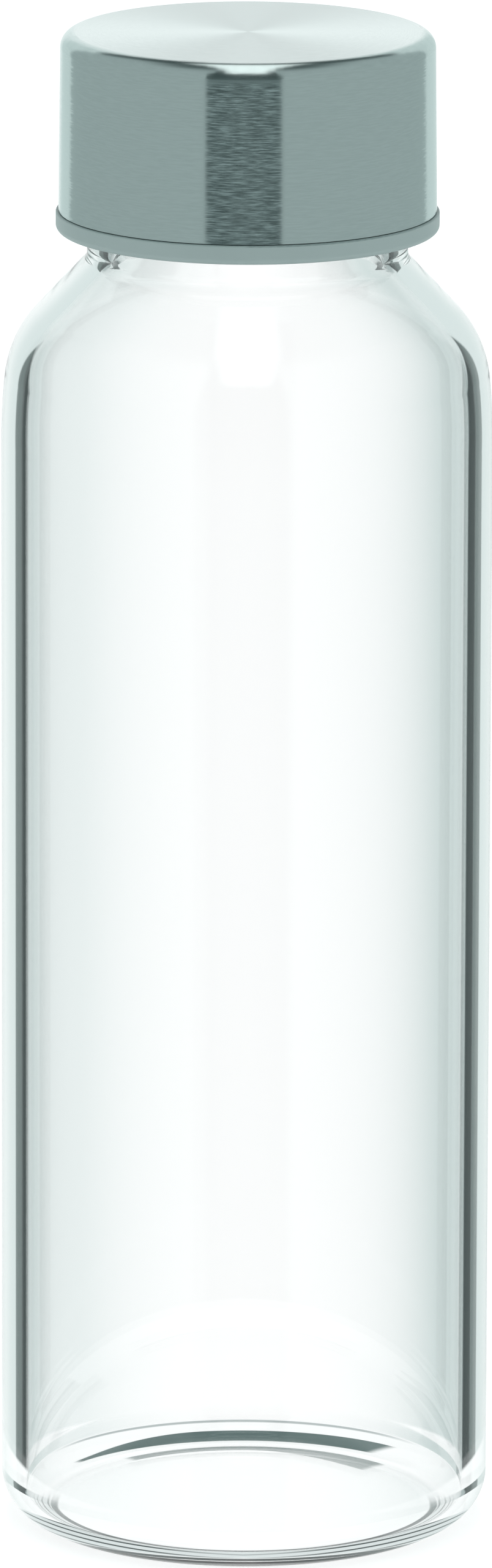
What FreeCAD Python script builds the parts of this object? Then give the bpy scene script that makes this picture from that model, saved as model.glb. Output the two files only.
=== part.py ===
"""Glass water bottle with a stainless steel screw cap, in millimetres.

The frame has its origin at the centre of the base, on the plane the bottle
stands on, with +Z up along the bottle's axis. Every piece is drawn in place.
"""

import FreeCAD, Part
import math
import os
from types import SimpleNamespace

import Sketcher
from FreeCAD import Placement, Rotation, Vector

SHEET = "Sizes"

# Driving dimensions, in mm unless the note says otherwise.
SIZES = {
    "bottle_radius": (32.5, "outside of the glass wall"),
    "wall_thickness": (3.2, "glass of the wall, shoulder and neck"),
    "heel_radius": (6.5, "outside rounding between wall and base"),
    "bearing_width": (1.6, "flat ring that the bottle stands on"),
    "punt_height": (1.0, "rise of the pushed-up base at its centre"),
    "floor_thickness": (2.3, "glass of the base at its centre"),
    "floor_drop": (1.1, "fall of the inside floor from centre to edge"),
    "floor_corner": (3.6, "inside rounding between floor and wall"),
    "wall_height": (146.9, "top of the straight wall"),
    "ease_radius": (86.6, "large arc that starts the shoulder"),
    "ease_angle": (5.7, "degrees that the large arc turns"),
    "shoulder_radius": (15.6, "tight arc of the shoulder"),
    "shoulder_angle": (43.3, "degrees from upright of the shoulder's cone"),
    "neck_radius": (21.2, "outside of the neck"),
    "neck_blend": (1.5, "hollow rounding from shoulder to neck"),
    "lip_height": (198.0, "top of the glass lip"),
    "lip_rounding": (1.4, "rounding of the lip's two edges"),
    "thread_pitch": (4.233, "rise per turn, six threads per inch"),
    "thread_turns": (1.5, "turns of each thread"),
    "thread_start": (187.2, "middle of the glass thread where it starts"),
    "bead_height": (1.1, "glass thread from root to crest"),
    "bead_width": (2.3, "glass thread at its root"),
    "bead_crest": (1.0, "glass thread at its crest"),
    "runout_depth": (0.05, "glass thread left where it starts and ends"),
    "runout_height": (3.2, "height of the cut that fades each end of the glass thread"),
    "runout_length": (9.0, "length of that cut, along the thread"),
    "thread_offset": (1.45, "how far the cap's thread lies below the glass one"),
    "cap_bead_height": (1.15, "cap thread from root to crest"),
    "cap_bead_width": (2.0, "cap thread at its root"),
    "cap_bead_crest": (0.8, "cap thread at its crest"),
    "thread_embed": (0.4, "how deep a thread's section reaches into its wall"),
    "cap_top": (201.6, "top of the steel shell"),
    "shell_bottom": (177.95, "open edge of the steel shell"),
    "shell_radius": (24.95, "outside of the steel shell at its open edge"),
    "shell_taper": (0.25, "how much smaller the shell's radius is at its top"),
    "shell_sheet": (0.5, "thickness of the steel sheet"),
    "shell_corner": (2.0, "outside rounding of the shell's top edge"),
    "press_gap": (0.02, "room between the inner cap and the steel shell"),
    "collar_bottom": (175.25, "underside of the collar"),
    "collar_top": (177.85, "upper side of the collar"),
    "collar_radius": (25.3, "outside of the collar"),
    "collar_rounding": (0.8, "rounding of the collar's lower edge"),
    "collar_bevel": (0.2, "rounding of the collar's upper edge"),
    "cap_wall_radius": (23.9, "outside of the inner cap's wall, between its ribs"),
    "cap_bore": (22.75, "inside of the inner cap's wall"),
    "cap_shoulder": (1.6, "bevel around the inner cap's top"),
    "ceiling_bottom": (199.3, "underside of the inner cap's ceiling"),
    "lead_in": (0.5, "bevel at the mouth of the inner cap"),
    "rib_width": (0.8, "rib that grips the steel shell"),
    "rib_count": (24, "number of ribs around the inner cap"),
    "rib_drop": (3.0, "how far below the shell's top the ribs end"),
    "plug_radius": (17.5, "outside of the ring that centres the seal"),
    "plug_wall": (1.3, "thickness of that ring"),
    "plug_depth": (2.6, "how far that ring hangs below the ceiling"),
    "plug_rounding": (0.5, "rounding of that ring's lower edges"),
    "seal_inner": (17.6, "inside of the seal ring"),
    "seal_outer": (22.2, "outside of the seal ring"),
    "seal_rounding": (0.3, "rounding of the seal ring's edges"),
}


class Size:
    """A formula over the sheet's cells, kept together with its value."""

    def __init__(self, text, value):
        self.text = text
        self.value = value

    def __add__(self, other):
        other = as_size(other)
        return Size(f"({self.text} + {other.text})", self.value + other.value)

    def __sub__(self, other):
        other = as_size(other)
        return Size(f"({self.text} - {other.text})", self.value - other.value)

    def __mul__(self, other):
        other = as_size(other)
        return Size(f"({self.text} * {other.text})", self.value * other.value)

    def __truediv__(self, other):
        other = as_size(other)
        return Size(f"({self.text} / {other.text})", self.value / other.value)


def as_size(number):
    """A plain number as a Size, so that it can stand in a formula."""
    return number if isinstance(number, Size) else Size(str(number), number)


doc = FreeCAD.newDocument("water_bottle")
cell = SimpleNamespace(**{
    alias: Size(f"{SHEET}.{alias}", value) for alias, (value, _) in SIZES.items()
})
ZERO = as_size(0)


def make_sheet():
    """Write every driving dimension into the sheet, one named cell each."""
    sheet = doc.addObject("Spreadsheet::Sheet", SHEET)
    for row, (alias, (value, note)) in enumerate(SIZES.items(), start=1):
        sheet.set(f"A{row}", note)
        sheet.set(f"B{row}", str(value))
        sheet.setAlias(f"B{row}", alias)
    doc.recompute()


def bind(feature, **sizes):
    """Bind a feature's properties to formulas over the sheet."""
    for name, size in sizes.items():
        feature.setExpression(name, size.text)


def make_body(label):
    """An empty body whose label names the piece."""
    body = doc.addObject("PartDesign::Body", label)
    body.Label = label
    body.Placement = Placement(Vector(0, 0, 0), Rotation())
    return body


class Outline:
    """A sketch drawn as one closed chain of lines and arcs.

    In an upright sketch x is the distance from the bottle's axis and y is the height.
    """

    START, END, CENTRE = 1, 2, 3
    ORIGIN, X_AXIS, Y_AXIS = -1, -1, -2

    def __init__(self, body, name, plane="XZ_Plane"):
        self.sketch = body.newObject("Sketcher::SketchObject", name)
        role = [part for part in body.Origin.OriginFeatures if part.Role == plane]
        self.sketch.AttachmentSupport = [(role[0], "")]
        self.sketch.MapMode = "FlatFace"

    def line(self, start, end):
        """Draw a line between two points given as pairs of Size; its number."""
        points = [Vector(x.value, y.value, 0) for x, y in (start, end)]
        return self.sketch.addGeometry(Part.LineSegment(*points), False)

    def arc(self, centre, radius, first, last):
        """Draw an anticlockwise arc, with angles in degrees; its number."""
        circle = Part.Circle(Vector(*centre, 0), Vector(0, 0, 1), radius)
        span = [math.radians(first), math.radians(last)]
        return self.sketch.addGeometry(Part.ArcOfCircle(circle, *span), False)

    def tie(self, kind, *where):
        """Add a constraint that needs no size."""
        self.sketch.addConstraint(Sketcher.Constraint(kind, *where))

    def measure(self, kind, size, *where):
        """Add a constraint and bind its size to the sheet."""
        value = math.radians(size.value) if kind == "Angle" else size.value
        index = self.sketch.addConstraint(Sketcher.Constraint(kind, *where, value))
        name = f"{kind.lower()}_{index}"
        self.sketch.renameConstraint(index, name)
        self.sketch.setExpression(f"Constraints.{name}", size.text)

    def place(self, geometry, end, x=None, y=None):
        """Fix one end of a line or arc by its distances from the origin."""
        point = (geometry, end)
        if x is not None:
            if x.value:
                self.measure("DistanceX", x, self.ORIGIN, 1, *point)
            else:
                self.tie("PointOnObject", *point, self.Y_AXIS)
        if y is not None:
            if y.value:
                self.measure("DistanceY", y, self.ORIGIN, 1, *point)
            else:
                self.tie("PointOnObject", *point, self.X_AXIS)

    def polygon(self, corners):
        """Draw a closed polygon with every corner fixed by the sheet."""
        ends = corners[1:] + corners[:1]
        lines = [self.line(start, end) for start, end in zip(corners, ends)]
        for this, following in zip(lines, lines[1:] + lines[:1]):
            self.tie("Coincident", this, self.END, following, self.START)
        for number, (x, y) in zip(lines, corners):
            self.place(number, self.START, x, y)


def revolve(body, outline, name):
    """Turn an outline a full turn about the bottle's axis."""
    turned = body.newObject("PartDesign::Revolution", name)
    turned.Profile = outline.sketch
    turned.ReferenceAxis = (outline.sketch, ["V_Axis"])
    turned.Angle = 360
    doc.recompute()
    return turned


def round_edges(body, name, radius, *circles):
    """Round the full circular edges given as (radius, height) pairs of Size."""
    base = body.Tip
    names = []
    for wanted_radius, height in circles:
        for index, edge in enumerate(base.Shape.Edges, start=1):
            if edge.Degenerated or not isinstance(edge.Curve, Part.Circle):
                continue
            curve = edge.Curve
            same_radius = abs(curve.Radius - wanted_radius.value) < 0.01
            same_height = abs(curve.Center.z - height.value) < 0.01
            if same_radius and same_height:
                names.append(f"Edge{index}")
    if len(names) != len(circles):
        raise RuntimeError(f"{name}: found {len(names)} of {len(circles)} edges")
    fillet = body.newObject("PartDesign::Fillet", name)
    fillet.Base = (base, names)
    bind(fillet, Radius=radius)
    doc.recompute()


def wall_chain(outline, inset, foot):
    """Draw the wall, shoulder and neck, moved inwards from the outside by inset.

    foot is the height where the straight wall starts. Returns the first and last lines.
    """
    ease, turn = math.radians(cell.ease_angle.value), math.radians(cell.shoulder_angle.value)
    slope = Vector(math.cos(turn), math.sin(turn), 0)
    wall, neck = cell.bottle_radius - inset, cell.neck_radius - inset
    ease_radius = cell.ease_radius - inset
    shoulder_radius = cell.shoulder_radius - inset
    blend_radius = cell.neck_blend + inset

    # The three arcs' centres, which don't depend on the inset.
    ease_centre = Vector(cell.bottle_radius.value - cell.ease_radius.value, cell.wall_height.value, 0)
    reach = cell.ease_radius.value - cell.shoulder_radius.value
    shoulder_centre = ease_centre + Vector(math.cos(ease), math.sin(ease), 0) * reach
    blend_x = cell.neck_radius.value + cell.neck_blend.value
    across = shoulder_centre.dot(slope) + cell.shoulder_radius.value + cell.neck_blend.value
    blend_centre = Vector(blend_x, (across - blend_x * slope.x) / slope.y, 0)

    upright = outline.line((wall, foot), (wall, cell.wall_height))
    easing = outline.arc(ease_centre[:2], ease_radius.value, 0, cell.ease_angle.value)
    shoulder = outline.arc(shoulder_centre[:2], shoulder_radius.value,
                           cell.ease_angle.value, cell.shoulder_angle.value)
    cone_foot = shoulder_centre + slope * shoulder_radius.value
    cone_head = blend_centre - slope * blend_radius.value
    cone = outline.line([as_size(value) for value in cone_foot[:2]],
                        [as_size(value) for value in cone_head[:2]])
    blend = outline.arc(blend_centre[:2], blend_radius.value, 180, 180 + cell.shoulder_angle.value)
    rise = outline.line((neck, as_size(blend_centre.y)), (neck, cell.lip_height))

    start, end = outline.START, outline.END
    outline.tie("Vertical", upright)
    outline.tie("Tangent", upright, end, easing, start)
    outline.tie("Tangent", easing, end, shoulder, start)
    outline.tie("Tangent", shoulder, end, cone, start)
    outline.tie("Tangent", cone, end, blend, end)
    outline.tie("Tangent", blend, start, rise, start)
    outline.place(upright, end, wall, cell.wall_height)
    outline.measure("Radius", ease_radius, easing)
    outline.measure("Angle", cell.ease_angle, easing)
    outline.measure("Radius", shoulder_radius, shoulder)
    outline.measure("Angle", cell.shoulder_angle - cell.ease_angle, shoulder)
    outline.measure("Radius", blend_radius, blend)
    outline.place(rise, end, neck, cell.lip_height)
    return upright, rise


def close_at_axis(outline, rise, floor, floor_end):
    """Join the top of the neck to the axis and bring the axis down to the floor."""
    start, end = outline.START, outline.END
    top = outline.line((cell.neck_radius, cell.lip_height), (ZERO, cell.lip_height))
    axis = outline.line((ZERO, cell.lip_height), (ZERO, cell.floor_thickness))
    outline.tie("Coincident", rise, end, top, start)
    outline.tie("Horizontal", top)
    outline.tie("Coincident", top, end, axis, start)
    outline.tie("Vertical", axis)
    outline.place(axis, start, ZERO)
    outline.tie("Coincident", axis, end, floor, floor_end)


def glass_outside(body):
    """The bottle as if it were solid glass."""
    outline = Outline(body, "glass_outside")
    start, end = outline.START, outline.END
    punt_edge = cell.bottle_radius - cell.heel_radius - cell.bearing_width
    rise_of_punt = cell.punt_height.value
    punt_radius = (punt_edge.value ** 2 + rise_of_punt ** 2) / (2 * rise_of_punt)
    punt_lean = math.degrees(math.acos(punt_edge.value / punt_radius))

    upright, rise = wall_chain(outline, ZERO, cell.heel_radius)
    punt = outline.arc((0, rise_of_punt - punt_radius), punt_radius, punt_lean, 90)
    heel_centre = (cell.bottle_radius.value - cell.heel_radius.value, cell.heel_radius.value)
    heel = outline.arc(heel_centre, cell.heel_radius.value, -90, 0)
    bearing = outline.line((punt_edge, ZERO), (as_size(heel_centre[0]), ZERO))

    outline.tie("PointOnObject", punt, outline.CENTRE, outline.Y_AXIS)
    outline.place(punt, start, punt_edge, ZERO)
    outline.place(punt, end, y=cell.punt_height)
    outline.tie("Coincident", punt, start, bearing, start)
    outline.tie("Tangent", bearing, end, heel, start)
    outline.tie("Tangent", heel, end, upright, start)
    outline.tie("Horizontal", bearing)
    outline.measure("Radius", cell.heel_radius, heel)
    close_at_axis(outline, rise, punt, end)
    revolve(body, outline, "glass_blank")


def glass_inside(body):
    """Hollow the bottle: floor, wall, shoulder and bore, open at the lip."""
    outline = Outline(body, "glass_inside")
    start, end = outline.START, outline.END
    inside = cell.bottle_radius - cell.wall_thickness
    floor_top = cell.punt_height + cell.floor_thickness
    floor_edge = floor_top - cell.floor_drop
    reach = inside.value - cell.floor_corner.value
    drop = cell.floor_drop.value
    floor_radius = (reach ** 2 + drop ** 2) / (2 * drop)
    lean = math.degrees(math.asin(reach / (floor_radius + cell.floor_corner.value)))
    corner_height = floor_edge + cell.floor_corner

    upright, rise = wall_chain(outline, cell.wall_thickness, corner_height)
    floor = outline.arc((0, floor_top.value - floor_radius), floor_radius, 90 - lean, 90)
    corner = outline.arc((reach, corner_height.value), cell.floor_corner.value, -90 - lean, 0)

    outline.tie("PointOnObject", floor, outline.CENTRE, outline.Y_AXIS)
    outline.place(floor, end, y=floor_top)
    outline.place(floor, start, y=floor_edge)
    outline.tie("Tangent", floor, start, corner, start)
    outline.tie("Tangent", corner, end, upright, start)
    outline.measure("Radius", cell.floor_corner, corner)
    close_at_axis(outline, rise, floor, end)

    hollow = body.newObject("PartDesign::Groove", "bottle_hollow")
    hollow.Profile = outline.sketch
    hollow.ReferenceAxis = (outline.sketch, ["V_Axis"])
    hollow.Angle = 360
    doc.recompute()


def thread(body, name, root, crest, middle, root_width, crest_width):
    """A right-handed thread on a wall, rising one pitch per turn.

    root and crest are radii. The section is a trapezium sunk a little into the wall.
    """
    outward = 1 if crest.value > root.value else -1
    sunk = root - cell.thread_embed * outward
    section = Outline(body, f"{name}_section")
    section.polygon([
        (sunk, middle - root_width / 2),
        (root, middle - root_width / 2),
        (crest, middle - crest_width / 2),
        (crest, middle + crest_width / 2),
        (root, middle + root_width / 2),
        (sunk, middle + root_width / 2),
    ])
    helix = body.newObject("PartDesign::AdditiveHelix", name)
    helix.Profile = section.sketch
    helix.ReferenceAxis = (section.sketch, ["V_Axis"])
    helix.Mode = "pitch-turns-angle"
    helix.LeftHanded = False
    bind(helix, Pitch=cell.thread_pitch, Turns=cell.thread_turns)
    doc.recompute()


def thread_runout(body, name, side, middle):
    """Fade one end of the glass thread with a flat cut that just clears the neck.

    side is +1 where the thread starts (on +X) and -1 where it ends, half a turn away.
    """
    near = cell.neck_radius + cell.runout_depth
    far = near + cell.bead_height * 2
    first, last = as_size(-1), cell.runout_length
    outline = Outline(body, f"{name}_section", "XY_Plane")
    outline.polygon([
        (near * side, first),
        (far * side, first),
        (far * side, last),
        (near * side, last),
    ])
    outline.sketch.setExpression("AttachmentOffset.Base.z", (middle - cell.runout_height / 2).text)
    cut = body.newObject("PartDesign::Pocket", name)
    cut.Profile = outline.sketch
    cut.Reversed = True
    bind(cut, Length=cell.runout_height)
    doc.recompute()


def make_glass_bottle():
    """The bottle: one piece of glass with a screw thread on its neck."""
    body = make_body("glass_bottle")
    glass_outside(body)
    glass_inside(body)
    bore = cell.neck_radius - cell.wall_thickness
    round_edges(body, "lip", cell.lip_rounding,
                (cell.neck_radius, cell.lip_height), (bore, cell.lip_height))
    thread(body, "glass_thread", cell.neck_radius, cell.neck_radius + cell.bead_height,
           cell.thread_start, cell.bead_width, cell.bead_crest)
    thread_runout(body, "thread_lead_in", 1, cell.thread_start)
    last_middle = cell.thread_start + cell.thread_pitch * cell.thread_turns
    thread_runout(body, "thread_lead_out", -1, last_middle)
    return body


def make_cap_shell():
    """The steel shell: a cup drawn from sheet, closed at the top."""
    body = make_body("cap_shell")
    sheet, bottom, top = cell.shell_sheet, cell.shell_bottom, cell.cap_top
    wide, narrow = cell.shell_radius, cell.shell_radius - cell.shell_taper
    outline = Outline(body, "shell_section")
    outline.polygon([
        (wide, bottom),
        (narrow, top),
        (ZERO, top),
        (ZERO, top - sheet),
        (narrow - sheet, top - sheet),
        (wide - sheet, bottom),
    ])
    revolve(body, outline, "shell_cup")
    round_edges(body, "shell_top_edge", cell.shell_corner, (narrow, top))
    round_edges(body, "shell_inside_edge", cell.shell_corner - sheet, (narrow - sheet, top - sheet))
    return body


def make_inner_cap():
    """The plastic cap inside the shell: collar, threaded wall, ceiling and plug ring."""
    body = make_body("inner_cap")
    crown = cell.cap_top - cell.shell_sheet - cell.press_gap
    plug_inside = cell.plug_radius - cell.plug_wall
    plug_bottom = cell.ceiling_bottom - cell.plug_depth
    outline = Outline(body, "inner_cap_section")
    outline.polygon([
        (ZERO, crown),
        (cell.cap_wall_radius - cell.cap_shoulder, crown),
        (cell.cap_wall_radius, crown - cell.cap_shoulder),
        (cell.cap_wall_radius, cell.collar_top),
        (cell.collar_radius, cell.collar_top),
        (cell.collar_radius, cell.collar_bottom),
        (cell.cap_bore + cell.lead_in, cell.collar_bottom),
        (cell.cap_bore, cell.collar_bottom + cell.lead_in),
        (cell.cap_bore, cell.ceiling_bottom),
        (cell.plug_radius, cell.ceiling_bottom),
        (cell.plug_radius, plug_bottom),
        (plug_inside, plug_bottom),
        (plug_inside, cell.ceiling_bottom),
        (ZERO, cell.ceiling_bottom),
    ])
    revolve(body, outline, "inner_cap_blank")
    round_edges(body, "collar_lower_edge", cell.collar_rounding,
                (cell.collar_radius, cell.collar_bottom))
    round_edges(body, "collar_upper_edge", cell.collar_bevel,
                (cell.collar_radius, cell.collar_top))
    round_edges(body, "plug_ring_edge", cell.plug_rounding,
                (cell.plug_radius, plug_bottom), (plug_inside, plug_bottom))
    thread(body, "cap_thread", cell.cap_bore, cell.cap_bore - cell.cap_bead_height,
           cell.thread_start - cell.thread_offset, cell.cap_bead_width, cell.cap_bead_crest)
    grip_ribs(body)
    return body


def grip_ribs(body):
    """Upright ribs around the inner cap, whose tops follow the shell's tapered inside."""
    inside = cell.shell_radius - cell.shell_sheet - cell.press_gap
    rib_bottom = cell.collar_top
    rib_top = cell.cap_top - cell.rib_drop
    fall = cell.shell_taper / (cell.cap_top - cell.shell_bottom)
    root = cell.cap_wall_radius - cell.thread_embed
    outline = Outline(body, "rib_section")
    outline.polygon([
        (root, rib_bottom),
        (inside, rib_bottom),
        (inside - fall * (rib_top - cell.shell_bottom), rib_top),
        (root, rib_top),
    ])
    rib = body.newObject("PartDesign::Pad", "grip_rib")
    rib.Profile = outline.sketch
    rib.Midplane = True
    bind(rib, Length=cell.rib_width)
    doc.recompute()
    ribs = body.newObject("PartDesign::PolarPattern", "grip_ribs")
    ribs.Originals = [rib]
    ribs.Axis = (outline.sketch, ["V_Axis"])
    ribs.Angle = 360
    bind(ribs, Occurrences=cell.rib_count)
    body.Tip = ribs
    doc.recompute()


def make_seal_ring():
    """The flat silicone ring between the glass lip and the inner cap's ceiling."""
    body = make_body("seal_ring")
    inner, outer = cell.seal_inner, cell.seal_outer
    bottom, top = cell.lip_height, cell.ceiling_bottom
    outline = Outline(body, "seal_section")
    outline.polygon([(inner, bottom), (outer, bottom), (outer, top), (inner, top)])
    revolve(body, outline, "seal_blank")
    corners = [(radius, height) for radius in (inner, outer) for height in (bottom, top)]
    round_edges(body, "seal_edges", cell.seal_rounding, *corners)
    return body


def check_document():
    """Stop if any object failed, which a recompute doesn't report by itself."""
    for item in doc.Objects:
        if {"Invalid", "Error"} & set(item.State):
            raise RuntimeError(f"{item.Name} failed: {item.State}")


def export(bodies):
    """Check every piece, then write each one to its own STEP file."""
    for body in bodies:
        shape = body.Shape
        if shape.isNull() or not shape.isValid() or len(shape.Solids) != 1:
            raise RuntimeError(f"{body.Label} is not one valid solid")
    os.makedirs("parts", exist_ok=True)
    for body in bodies:
        body.Shape.exportStep(f"parts/{body.Label}.step")
        print(f"{body.Label}: {body.Shape.Volume:.1f} mm3")


make_sheet()
pieces = [make_glass_bottle(), make_cap_shell(), make_inner_cap(), make_seal_ring()]
doc.recompute()
check_document()
export(pieces)
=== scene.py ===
"""Looks of the glass water bottle: glass, brushed steel, satin plastic and a bright-field studio."""
import math

import bmesh
import bpy
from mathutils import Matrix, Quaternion, Vector


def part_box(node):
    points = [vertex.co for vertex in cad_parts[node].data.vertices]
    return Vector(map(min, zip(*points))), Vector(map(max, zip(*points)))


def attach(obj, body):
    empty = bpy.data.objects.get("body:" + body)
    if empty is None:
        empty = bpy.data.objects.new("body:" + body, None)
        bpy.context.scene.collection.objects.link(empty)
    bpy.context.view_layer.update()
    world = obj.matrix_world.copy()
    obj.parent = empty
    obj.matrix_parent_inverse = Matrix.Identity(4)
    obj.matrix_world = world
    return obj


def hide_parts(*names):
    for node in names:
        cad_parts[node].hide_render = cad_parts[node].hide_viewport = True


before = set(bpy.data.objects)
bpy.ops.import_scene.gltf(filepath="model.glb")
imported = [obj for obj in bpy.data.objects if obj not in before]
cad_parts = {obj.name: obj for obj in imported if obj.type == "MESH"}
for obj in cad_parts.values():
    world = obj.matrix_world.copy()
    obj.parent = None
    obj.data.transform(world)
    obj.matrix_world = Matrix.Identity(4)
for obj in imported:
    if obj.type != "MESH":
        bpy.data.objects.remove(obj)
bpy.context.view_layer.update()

MM = 0.001

# Shape of the glass, in metres, matching the CAD bottle.
GLASS_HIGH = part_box("glass_bottle")[1]
BOTTLE_RADIUS = GLASS_HIGH.x
LIP_HEIGHT = GLASS_HIGH.z
WALL = 3.2 * MM
HEEL_RADIUS = 6.5 * MM
BEARING_WIDTH = 1.6 * MM
PUNT_HEIGHT = 1.0 * MM
FLOOR_THICKNESS = 2.3 * MM
FLOOR_DROP = 1.1 * MM
FLOOR_CORNER = 3.6 * MM
WALL_HEIGHT = 146.9 * MM
EASE_RADIUS, EASE_ANGLE = 86.6 * MM, math.radians(5.7)
SHOULDER_RADIUS, SHOULDER_ANGLE = 15.6 * MM, math.radians(43.3)
NECK_RADIUS = 21.2 * MM
NECK_BLEND = 1.5 * MM
LIP_ROUNDING = 1.4 * MM
THREAD_PITCH = 4.233 * MM
THREAD_TURNS = 1.5
THREAD_START = 187.2 * MM
BEAD_HEIGHT = 1.1 * MM
BEAD_WIDTH = 2.3 * MM
BEAD_FADE_TURNS = 0.06      # the bead rises and dies away over this much of a turn
BEAD_FLANK = 0.55           # share of the bead's half-width that is sloping flank
GLASS_SEGMENTS = 288
SAME_POINT, ON_AXIS = 1e-7, 1e-6

CREASE_ANGLE = math.radians(35)

# The steel's brushing grows faint between these heights, where the side turns into the top.
BRUSHING_FADE = (198.6 * MM, 199.6 * MM)

# Camera: distance in metres, angles in degrees.
CAMERA_DISTANCE, CAMERA_PITCH, CAMERA_ROLL = 1.945, 13.1, 0.17
CAMERA_AIM_HEIGHT = 100.25 * MM
CAMERA_LENS = 336.3

# Studio: colours, then where each part ends, as the two ends of a blend in degrees.
SWEEP_WHITE = (1.12, 1.12, 1.12, 1)
SWEEP_NEAR_LEFT = (0.93, 0.98, 0.975, 1)
SWEEP_EDGE = (0.70, 0.79, 0.78, 1)
SIDE_PANEL = (0.40, 0.475, 0.47, 1)
ROOM_DARK = (0.05, 0.075, 0.075, 1)
FRONT_LOW = (0.44, 0.55, 0.55, 1)
FLAG_GREY = (0.06, 0.09, 0.085, 1)
FLAG_BLACK = (0.018, 0.025, 0.025, 1)
STRIP_LIGHT = (1.27, 1.36, 1.34, 1)
SWEEP_TOP, SIDES_TOP, FRONT_RISE, FLAG_TOP = (33, 40), (50, 75), (-42, 4), (12, 15)
STRIP_EDGE = (0.12, 0.24)   # this one is a sideways share of the direction, not an angle

# Limits to the left and right, in degrees of turn.
SWEEP_SIDES = (-41, 40)
SIDES_FRONT = (-154.5, 159.5)
STRIP_ENDS = (59, 139)      # degrees of pitch, from level at the back over the top

# Side flags: centre and greatest half-width, in degrees of turn.
RIGHT_FLAG, RIGHT_FLAG_HALF = 34.0, 9.0
LEFT_FLAG, LEFT_FLAG_HALF = -38.0, 8.0

FLOOR_SINK = 0.05 * MM
FLOOR_GLOW = 0.75

# Painted shadow, shade and dark reflections on the floor that refracted light sees: colours, then the
# blend at its rim in mm.
PATTERN_WHITE = (1.10, 1.12, 1.12, 1)
# After the white: painted shadow, a painted faint shadow edge, painted shade under the heel, painted dark
# reflections, and a painted contact shadow line.
PATTERN_SHADOW = (0.12, 0.175, 0.17, 1)
PATTERN_FAINT_SHADOW = (0.50, 0.55, 0.55, 1)
PATTERN_HEEL_SHADE = (0.74, 0.80, 0.80, 1)
PATTERN_DARK_REFLECTION = (0.05, 0.065, 0.065, 1)
PATTERN_CONTACT_SHADOW = (0.03, 0.04, 0.04, 1)
PATTERN_RIM = (52, 54)


def arc(centre, radius, first, last, steps):
    """Points on an arc in the radius-height plane, angles in radians."""
    angles = [first + (last - first) * i / steps for i in range(steps + 1)]
    return [(centre[0] + radius * math.cos(a), centre[1] + radius * math.sin(a)) for a in angles]


def stretch(start, end, steps):
    """Evenly spaced points on a straight line, both ends included."""
    return [(start[0] + (end[0] - start[0]) * i / steps,
             start[1] + (end[1] - start[1]) * i / steps) for i in range(steps + 1)]


def wall_outline(inset, foot):
    """Wall, shoulder and neck from foot up to the lip, moved inwards from the outside by inset."""
    ease_centre = (BOTTLE_RADIUS - EASE_RADIUS, WALL_HEIGHT)
    reach = EASE_RADIUS - SHOULDER_RADIUS
    shoulder_centre = (ease_centre[0] + reach * math.cos(EASE_ANGLE),
                       ease_centre[1] + reach * math.sin(EASE_ANGLE))
    slope = (math.cos(SHOULDER_ANGLE), math.sin(SHOULDER_ANGLE))
    blend_x = NECK_RADIUS + NECK_BLEND
    across = shoulder_centre[0] * slope[0] + shoulder_centre[1] * slope[1]
    across += SHOULDER_RADIUS + NECK_BLEND
    blend_centre = (blend_x, (across - blend_x * slope[0]) / slope[1])
    points = stretch((BOTTLE_RADIUS - inset, foot), (BOTTLE_RADIUS - inset, WALL_HEIGHT), 60)
    points += arc(ease_centre, EASE_RADIUS - inset, 0, EASE_ANGLE, 10)
    points += arc(shoulder_centre, SHOULDER_RADIUS - inset, EASE_ANGLE, SHOULDER_ANGLE, 24)
    points += arc(blend_centre, NECK_BLEND + inset, math.pi + SHOULDER_ANGLE, math.pi, 16)
    return points


def glass_outline():
    """The whole glass section, from the base's centre round the outside to the floor's centre."""
    punt_edge = BOTTLE_RADIUS - HEEL_RADIUS - BEARING_WIDTH
    punt_radius = (punt_edge ** 2 + PUNT_HEIGHT ** 2) / (2 * PUNT_HEIGHT)
    punt_lean = math.asin(punt_edge / punt_radius)
    quarter = math.pi / 2
    bore = NECK_RADIUS - WALL
    outside = arc((0, PUNT_HEIGHT - punt_radius), punt_radius, quarter, quarter - punt_lean, 30)
    outside += arc((BOTTLE_RADIUS - HEEL_RADIUS, HEEL_RADIUS), HEEL_RADIUS, -quarter, 0, 40)
    outside += wall_outline(0, HEEL_RADIUS)
    neck_foot, lip_foot = outside[-1][1], LIP_HEIGHT - LIP_ROUNDING
    outside += stretch((NECK_RADIUS, neck_foot), (NECK_RADIUS, lip_foot), 200)
    outside += arc((NECK_RADIUS - LIP_ROUNDING, lip_foot), LIP_ROUNDING, 0, quarter, 12)
    inside_top = arc((bore + LIP_ROUNDING, lip_foot), LIP_ROUNDING, quarter, 2 * quarter, 12)

    reach = BOTTLE_RADIUS - WALL - FLOOR_CORNER
    floor_top = PUNT_HEIGHT + FLOOR_THICKNESS
    floor_radius = (reach ** 2 + FLOOR_DROP ** 2) / (2 * FLOOR_DROP)
    lean = math.asin(reach / (floor_radius + FLOOR_CORNER))
    edge = (floor_radius * math.sin(lean), floor_top - floor_radius * (1 - math.cos(lean)))
    corner = (reach, edge[1] + FLOOR_CORNER * math.cos(lean))
    inside = arc((0, floor_top - floor_radius), floor_radius, quarter, quarter - lean, 30)
    inside += arc(corner, FLOOR_CORNER, -quarter - lean, 0, 30)
    inside += wall_outline(WALL, corner[1])
    inside += stretch((bore, inside[-1][1]), (bore, lip_foot), 20)
    return outside + inside_top + inside[::-1]


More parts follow.
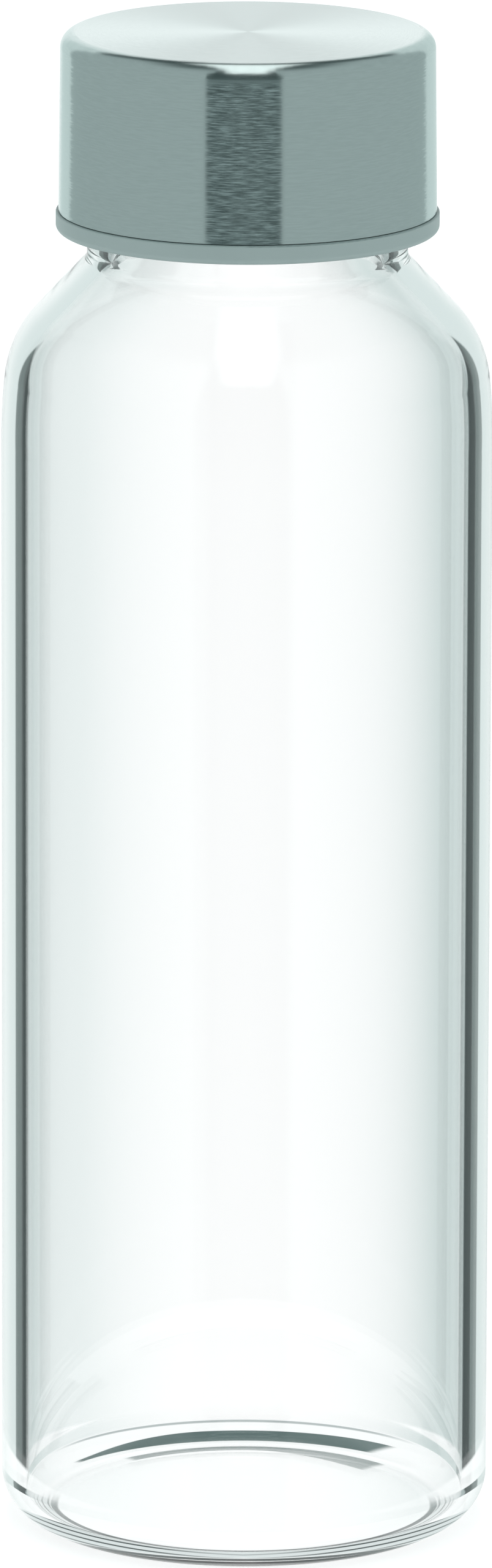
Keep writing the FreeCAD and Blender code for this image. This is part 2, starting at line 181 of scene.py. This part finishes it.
def lathe(name, outline, segments, shift=None):
    """Turn an outline that starts and ends on the axis into a closed smooth mesh.

    shift(radius, height, angle) may return a changed radius and height.
    """
    kept = [outline[0]]
    for point in outline[1:]:
        if math.dist(point, kept[-1]) > SAME_POINT:
            kept.append(point)
    mesh = bpy.data.meshes.new(name)
    made = bmesh.new()
    rings = []
    for radius, height in kept:
        if radius < ON_AXIS:
            rings.append([made.verts.new((0, 0, height))])
            continue
        ring = []
        for step in range(segments):
            angle = 2 * math.pi * step / segments
            r, h = shift(radius, height, angle) if shift else (radius, height)
            ring.append(made.verts.new((r * math.cos(angle), r * math.sin(angle), h)))
        rings.append(ring)
    for low, high in zip(rings, rings[1:]):
        for step in range(segments):
            following = (step + 1) % segments
            corners = [low[step % len(low)], low[following % len(low)],
                       high[following % len(high)], high[step % len(high)]]
            unique = list(dict.fromkeys(corners))
            made.faces.new(unique)
    bmesh.ops.recalc_face_normals(made, faces=made.faces)
    for face in made.faces:
        face.smooth = True
    made.to_mesh(mesh)
    made.free()
    piece = bpy.data.objects.new(name, mesh)
    bpy.context.scene.collection.objects.link(piece)
    return piece


def smooth_step(value):
    value = min(1.0, max(0.0, value))
    return value * value * (3 - 2 * value)


def thread_bead(radius, height, angle):
    """Raise the neck's outside into the screw thread, fading at both ends."""
    if radius < NECK_RADIUS - SAME_POINT or radius > NECK_RADIUS + SAME_POINT:
        return radius, height
    lift = 0.0
    for turn in range(int(THREAD_TURNS) + 1):
        along = turn + angle / (2 * math.pi)
        if along > THREAD_TURNS:
            continue
        middle = THREAD_START + along * THREAD_PITCH
        off = abs(height - middle) / (BEAD_WIDTH / 2)
        if off >= 1:
            continue
        left = THREAD_TURNS - along
        fade = smooth_step(along / BEAD_FADE_TURNS) * smooth_step(left / BEAD_FADE_TURNS)
        lift = max(lift, BEAD_HEIGHT * fade * smooth_step((1 - off) / BEAD_FLANK))
    return radius + lift, height


class Nodes:
    """A node tree under construction, with short calls for the usual nodes."""

    def __init__(self, tree):
        self.tree = tree
        self.tree.nodes.clear()

    def add(self, kind, inputs=None, **settings):
        node = self.tree.nodes.new(kind)
        for name, value in settings.items():
            setattr(node, name, value)
        for name, value in (inputs or {}).items():
            socket = node.inputs[name]
            if isinstance(value, bpy.types.NodeSocket):
                self.tree.links.new(value, socket)
            else:
                socket.default_value = value
        return node

    def maths(self, operation, first, second=0.0):
        return self.add("ShaderNodeMath", {0: first, 1: second}, operation=operation).outputs[0]

    def times(self, first, *others):
        """The product of two or more values."""
        for other in others:
            first = self.maths("MULTIPLY", first, other)
        return first

    def ramp(self, value, low, high, start=0.0, end=1.0):
        """Smoothly from start to end as value goes from low to high."""
        node = self.add("ShaderNodeMapRange", {"Value": value, "From Min": low, "From Max": high,
                                               "To Min": start, "To Max": end},
                        interpolation_type="SMOOTHSTEP")
        return node.outputs["Result"]

    def window(self, value, low, high, soft):
        """One between low and high, fading to nought over soft on both sides of each limit."""
        opening = self.ramp(value, low - soft, low + soft)
        return self.times(opening, self.ramp(value, high - soft, high + soft, 1, 0))

    def ring(self, value, low, high, soft):
        """Like window, for limits that may also be sockets."""
        rising = self.maths("DIVIDE", self.maths("SUBTRACT", value, low), soft)
        falling = self.maths("DIVIDE", self.maths("SUBTRACT", high, value), soft)
        return self.ramp(self.maths("MINIMUM", rising, falling), -1, 1)

    def mix(self, share, first, second):
        node = self.add("ShaderNodeMix", data_type="RGBA")
        for socket, value in ((node.inputs[0], share), (node.inputs[6], first), (node.inputs[7], second)):
            if isinstance(value, bpy.types.NodeSocket):
                self.tree.links.new(value, socket)
            else:
                socket.default_value = value
        return node.outputs[2]


def new_material(name):
    material = bpy.data.materials.new(name)
    material.use_nodes = True
    return material, Nodes(material.node_tree)


def glass_material():
    """Clear glass with a faint green-grey body colour, seen only along long paths."""
    material, nodes = new_material("clear_glass")
    surface = nodes.add("ShaderNodeBsdfPrincipled", {
        "Base Color": (1, 1, 1, 1), "Roughness": 0.0, "IOR": 1.52, "Transmission Weight": 1.0})
    body = nodes.add("ShaderNodeVolumeAbsorption", {"Color": (0.80, 0.93, 0.90, 1), "Density": 9.0})
    nodes.add("ShaderNodeOutputMaterial", {"Surface": surface.outputs[0], "Volume": body.outputs[0]})
    return material


def steel_material():
    """Stainless steel: fine brush lines round the side, going on as faint rings on the top."""
    material, nodes = new_material("brushed_steel")
    tangent = nodes.add("ShaderNodeTangent", direction_type="RADIAL", axis="Z").outputs[0]
    place = nodes.add("ShaderNodeTexCoord").outputs["Object"]
    x, y, z = nodes.add("ShaderNodeSeparateXYZ", {"Vector": place}).outputs
    radius = nodes.maths("SQRT", nodes.maths("ADD", nodes.times(x, x), nodes.times(y, y)))
    along_x = nodes.maths("DIVIDE", x, radius)
    along_y = nodes.maths("DIVIDE", y, radius)
    across = nodes.maths("ADD", z, radius)

    def brushing(lines_per_metre, length, detail):
        vector = nodes.add("ShaderNodeCombineXYZ", {
            "X": nodes.times(along_x, length), "Y": nodes.times(along_y, length),
            "Z": nodes.times(across, lines_per_metre)}).outputs[0]
        return nodes.add("ShaderNodeTexNoise", {"Vector": vector, "Scale": 1.0, "Detail": detail,
                                                "Roughness": 0.6}).outputs["Fac"]

    fine, broad = brushing(5500.0, 12.0, 3.0), brushing(900.0, 3.0, 2.0)
    tint = nodes.mix(nodes.ramp(fine, 0.3, 0.7), (0.62, 0.69, 0.685, 1), (0.66, 0.73, 0.725, 1))
    # The lines lean the surface only across the brushing, so edges of reflections stay crisp along it.
    normal = nodes.add("ShaderNodeNewGeometry").outputs["Normal"]
    across_lines = nodes.add("ShaderNodeVectorMath", {0: normal, 1: tangent},
                             operation="CROSS_PRODUCT").outputs[0]
    slope = nodes.maths("ADD", nodes.times(nodes.maths("SUBTRACT", fine, 0.5), 0.75),
                        nodes.times(nodes.maths("SUBTRACT", broad, 0.5), 0.10))
    slope = nodes.times(slope, nodes.ramp(z, *BRUSHING_FADE, 1, 0.12))
    lean = nodes.add("ShaderNodeVectorMath", {0: across_lines, "Scale": slope},
                     operation="SCALE").outputs[0]
    leaning = nodes.add("ShaderNodeVectorMath", {0: normal, 1: lean}, operation="ADD").outputs[0]
    leaning = nodes.add("ShaderNodeVectorMath", {0: leaning}, operation="NORMALIZE").outputs[0]
    surface = nodes.add("ShaderNodeBsdfPrincipled", {
        "Base Color": tint, "Specular Tint": (0.94, 0.98, 0.975, 1), "Metallic": 1.0,
        "Roughness": 0.17, "Anisotropic": 1.0, "Anisotropic Rotation": 0.25,
        "Tangent": tangent, "Normal": leaning})
    nodes.add("ShaderNodeOutputMaterial", {"Surface": surface.outputs[0]})
    return material


def plastic_material():
    """Satin grey moulded polypropylene with a very fine moulded grain."""
    material, nodes = new_material("grey_plastic")
    place = nodes.add("ShaderNodeTexCoord").outputs["Object"]
    grain = nodes.add("ShaderNodeTexNoise", {"Vector": place, "Scale": 2500.0, "Detail": 3.0})
    cloud = nodes.add("ShaderNodeTexNoise", {"Vector": place, "Scale": 120.0, "Detail": 2.0})
    tint = nodes.mix(cloud.outputs["Fac"], (0.36, 0.445, 0.44, 1), (0.39, 0.475, 0.47, 1))
    bump = nodes.add("ShaderNodeBump", {
        "Strength": 0.1, "Distance": 0.05 * MM, "Height": grain.outputs["Fac"]})
    surface = nodes.add("ShaderNodeBsdfPrincipled", {
        "Base Color": tint, "Roughness": 0.42, "IOR": 1.49, "Normal": bump.outputs[0]})
    nodes.add("ShaderNodeOutputMaterial", {"Surface": surface.outputs[0]})
    return material


def silicone_material():
    """Translucent white silicone."""
    material, nodes = new_material("silicone")
    place = nodes.add("ShaderNodeTexCoord").outputs["Object"]
    cloud = nodes.add("ShaderNodeTexNoise", {"Vector": place, "Scale": 400.0, "Detail": 3.0})
    tint = nodes.mix(cloud.outputs["Fac"], (0.74, 0.77, 0.76, 1), (0.82, 0.84, 0.83, 1))
    surface = nodes.add("ShaderNodeBsdfPrincipled", {
        "Base Color": tint, "Roughness": 0.5, "IOR": 1.41, "Subsurface Weight": 0.4,
        "Subsurface Radius": (2 * MM, 2 * MM, 2 * MM), "Subsurface Scale": 1.0})
    nodes.add("ShaderNodeOutputMaterial", {"Surface": surface.outputs[0]})
    return material


def studio_world():
    """The studio round the bottle, as light that depends on direction.

    It turns with the camera, as a turntable studio does. Behind the bottle stands a white
    sweep, grey panels close the sides and a strip light hangs overhead. The room is dark
    above them and where the camera stands. A narrow dark flag stands near each edge of the
    sweep. Only light that has come through the glass is allowed to see the flags, so the cap
    does not show them. Turn is 0 straight behind the bottle and grows to the right; rise is
    the angle above level.
    """
    world = bpy.data.worlds.new("studio")
    world.use_nodes = True
    bpy.context.scene.world = world
    nodes = Nodes(world.node_tree)
    ray = nodes.add("ShaderNodeTexCoord").outputs["Generated"]
    ahead = nodes.add("ShaderNodeVectorTransform", {"Vector": (0, 0, 1)}, vector_type="VECTOR",
                      convert_from="CAMERA", convert_to="WORLD").outputs[0]
    level = nodes.add("ShaderNodeVectorMath", {0: ahead, 1: (1, 1, 0)}, operation="MULTIPLY").outputs[0]
    level = nodes.add("ShaderNodeVectorMath", {0: level}, operation="NORMALIZE").outputs[0]
    ray_x, ray_y, ray_z = nodes.add("ShaderNodeSeparateXYZ", {"Vector": ray}).outputs
    cam_x, cam_y, _ = nodes.add("ShaderNodeSeparateXYZ", {"Vector": level}).outputs
    forward = nodes.maths("ADD", nodes.times(ray_x, cam_x), nodes.times(ray_y, cam_y))
    right = nodes.maths("SUBTRACT", nodes.times(ray_x, cam_y), nodes.times(ray_y, cam_x))
    turn = nodes.maths("DEGREES", nodes.maths("ARCTAN2", right, forward))
    rise = nodes.maths("DEGREES", nodes.maths("ARCSINE", ray_z))
    pitch = nodes.maths("DEGREES", nodes.maths("ARCTAN2", ray_z, forward))
    sideways = nodes.maths("ABSOLUTE", right)

    sweep = nodes.mix(nodes.ramp(turn, -7, 0), SWEEP_NEAR_LEFT, SWEEP_WHITE)
    sweep = nodes.mix(nodes.ramp(turn, -24, -10), SWEEP_EDGE, sweep)
    sweep = nodes.mix(nodes.ramp(turn, 0, 13), sweep, SWEEP_EDGE)
    sweep = nodes.mix(nodes.ramp(rise, *SWEEP_TOP), sweep, ROOM_DARK)

    sides = nodes.mix(nodes.ramp(rise, *SIDES_TOP), SIDE_PANEL, ROOM_DARK)
    front = nodes.mix(nodes.ramp(rise, *FRONT_RISE), FRONT_LOW, ROOM_DARK)
    colour = nodes.mix(nodes.window(turn, *SIDES_FRONT, 1.5), front, sides)
    colour = nodes.mix(nodes.window(turn, *SWEEP_SIDES, 2.5), colour, sweep)

    # Each flag narrows upwards and ends at FLAG_TOP. Its outer half is black, its inner half grey.
    spread = nodes.ramp(rise, -12, 16, 1, 0)

    def flag(centre, half_width):
        off = nodes.maths("ABSOLUTE", nodes.maths("SUBTRACT", turn, centre))
        edge = nodes.maths("SUBTRACT", off, nodes.times(spread, half_width))
        return nodes.ramp(edge, -1, 1, 1, 0)

    flags = nodes.maths("MAXIMUM", flag(RIGHT_FLAG, RIGHT_FLAG_HALF), flag(LEFT_FLAG, LEFT_FLAG_HALF))
    outer_right = nodes.ramp(turn, RIGHT_FLAG - 1, RIGHT_FLAG + 1)
    outer_left = nodes.ramp(turn, LEFT_FLAG - 1, LEFT_FLAG + 1, 1, 0)
    outer = nodes.maths("MAXIMUM", outer_right, outer_left)
    through = nodes.add("ShaderNodeLightPath").outputs["Is Transmission Ray"]
    flags = nodes.times(flags, through, nodes.ramp(rise, *FLAG_TOP, 1, 0))
    colour = nodes.mix(flags, colour, nodes.mix(outer, FLAG_GREY, FLAG_BLACK))

    strip = nodes.times(nodes.ramp(sideways, *STRIP_EDGE, 1, 0), nodes.window(pitch, *STRIP_ENDS, 3))
    colour = nodes.mix(strip, colour, STRIP_LIGHT)
    light = nodes.add("ShaderNodeBackground", {"Color": colour, "Strength": 1.0})
    nodes.add("ShaderNodeOutputWorld", {"Surface": light.outputs[0]})


def painted_floor_shadows(nodes, place):
    """Colour of the floor as refracted light sees it, close round the foot of the bottle.

    This is painted shadow and shade, not a computed shadow: a contact shadow ring where the
    bottle stands, the shadow it casts behind it with a faint outer edge, shade under the heel,
    and thin marks of painted dark reflection there. It is placed so that the arcs and lines
    seen through the base look right from the front, and it does not turn with the camera.
    Radius is in mm. Side is 0 behind the bottle, grows to the right and is 180 in front.
    """
    radius = nodes.add("ShaderNodeVectorMath", {0: place}, operation="LENGTH").outputs["Value"]
    radius = nodes.maths("DIVIDE", radius, MM)
    x, y, _ = nodes.add("ShaderNodeSeparateXYZ", {"Vector": place}).outputs
    side = nodes.maths("DEGREES", nodes.maths("ARCTAN2", x, y))
    turned = nodes.maths("ABSOLUTE", side)

    # Behind: two dark arcs of painted shadow, thinner to the left, and a faint painted shadow edge
    # outside them.
    contact_shadow_arc = nodes.times(nodes.ring(radius, nodes.ramp(side, 0, 45, 24.5, 22.3), 26.7, 0.2),
                            nodes.window(side, -38, 47, 2))
    cast_shadow_arc = nodes.times(nodes.ring(radius, 31.6, nodes.ramp(side, -50, -8, 33.0, 39.9), 0.3),
                            nodes.window(side, -49, 35, 2))
    faint_shadow_arc = nodes.times(nodes.ring(radius, 48.5, 51.5, 0.8), nodes.window(side, -36, 30, 8))

    # In front: a thin dark line of painted contact shadow, then a pale band of painted shade under the
    # heel crossed by slanted thin marks of painted dark reflection.
    front = nodes.ramp(turned, 80, 100)
    line = nodes.times(nodes.ring(radius, 24.9, 26.2, 0.2), front)
    heel_shade = nodes.times(nodes.ring(radius, 26.4, 32.0, 0.3), front)
    slant = nodes.maths("ADD", nodes.maths("DIVIDE", radius, 1.5), nodes.maths("DIVIDE", turned, 38))
    dark_reflection_slivers = nodes.times(nodes.window(nodes.maths("FRACT", slant), 0.1, 0.4, 0.06),
                          heel_shade, nodes.ramp(turned, 150, 175, 1, 0.4))

    # Paint the shadows, the shade and the dark reflections onto the white floor.
    colour = nodes.mix(contact_shadow_arc, PATTERN_WHITE, PATTERN_SHADOW)
    colour = nodes.mix(cast_shadow_arc, colour, PATTERN_SHADOW)
    colour = nodes.mix(faint_shadow_arc, colour, PATTERN_FAINT_SHADOW)
    colour = nodes.mix(heel_shade, colour, PATTERN_HEEL_SHADE)
    colour = nodes.mix(dark_reflection_slivers, colour, PATTERN_DARK_REFLECTION)
    return nodes.mix(line, colour, PATTERN_CONTACT_SHADOW), radius


def studio_floor():
    """A plain pale floor that glows a little, so that it goes white.

    Reflected light passes through it and sees the studio beyond. Refracted light does too,
    except close round the bottle's foot, where it sees the painted shadows and shade. The floor
    lies a hair below the bottle, so that there is air between them.
    """
    bpy.ops.mesh.primitive_plane_add(size=40, location=(0, 0, -FLOOR_SINK))
    floor = bpy.context.object
    floor.name = "studio_floor"
    material, nodes = new_material("pale_floor")
    path = nodes.add("ShaderNodeLightPath")
    place = nodes.add("ShaderNodeTexCoord").outputs["Object"]
    cloud = nodes.add("ShaderNodeTexNoise", {"Vector": place, "Scale": 3.0, "Detail": 2.0})
    tint = nodes.mix(cloud.outputs["Fac"], (0.80, 0.80, 0.80, 1), (0.84, 0.84, 0.84, 1))
    matt = nodes.add("ShaderNodeBsdfDiffuse", {"Color": tint})
    glow = nodes.add("ShaderNodeEmission", {"Color": (1, 1, 1, 1), "Strength": FLOOR_GLOW})
    lit = nodes.add("ShaderNodeAddShader", {0: matt.outputs[0], 1: glow.outputs[0]})

    pattern, radius = painted_floor_shadows(nodes, place)
    painted = nodes.add("ShaderNodeEmission", {"Color": pattern, "Strength": 1.0})
    clear = nodes.add("ShaderNodeBsdfTransparent")
    refracted = nodes.add("ShaderNodeMixShader", {
        0: nodes.ramp(radius, *PATTERN_RIM),
        1: painted.outputs[0], 2: clear.outputs[0]})
    other = nodes.add("ShaderNodeMixShader", {
        0: path.outputs["Is Glossy Ray"], 1: lit.outputs[0], 2: clear.outputs[0]})
    both = nodes.add("ShaderNodeMixShader", {
        0: path.outputs["Is Transmission Ray"], 1: other.outputs[0], 2: refracted.outputs[0]})
    nodes.add("ShaderNodeOutputMaterial", {"Surface": both.outputs[0]})
    floor.data.materials.append(material)


def make_camera():
    """A long lens, looking down a little, aimed near the middle of the bottle's height."""
    pitch = math.radians(CAMERA_PITCH)
    aim = Vector((0, 0, CAMERA_AIM_HEIGHT))
    camera = bpy.data.objects.new("camera", bpy.data.cameras.new("camera"))
    bpy.context.scene.collection.objects.link(camera)
    camera.location = aim + CAMERA_DISTANCE * Vector((0, -math.cos(pitch), math.sin(pitch)))
    level = (aim - camera.location).to_track_quat("-Z", "Y")
    roll = Quaternion((0, 0, 1), math.radians(CAMERA_ROLL))
    camera.rotation_euler = (level @ roll).to_euler()
    camera.data.lens = CAMERA_LENS
    camera.data.clip_end = 100
    bpy.context.scene.camera = camera


def finish_cad_node(name, material):
    """Give a CAD node its finish, shaded smooth across its curved faces."""
    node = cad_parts[name]
    node.data.materials.clear()
    node.data.materials.append(material)
    for face in node.data.polygons:
        face.use_smooth = True
    node.data.set_sharp_from_angle(angle=CREASE_ANGLE)


bottle = lathe("glass_bottle_blown", glass_outline(), GLASS_SEGMENTS, thread_bead)
bottle.data.materials.append(glass_material())
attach(bottle, "bottle")
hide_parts("glass_bottle")

finish_cad_node("cap_shell", steel_material())
finish_cad_node("inner_cap", plastic_material())
finish_cad_node("seal_ring", silicone_material())

studio_world()
studio_floor()
make_camera()

bpy.context.scene.view_settings.view_transform = "Standard"
bpy.context.scene.cycles.max_bounces = 32
bpy.context.scene.cycles.transmission_bounces = 32
bpy.context.scene.cycles.glossy_bounces = 16
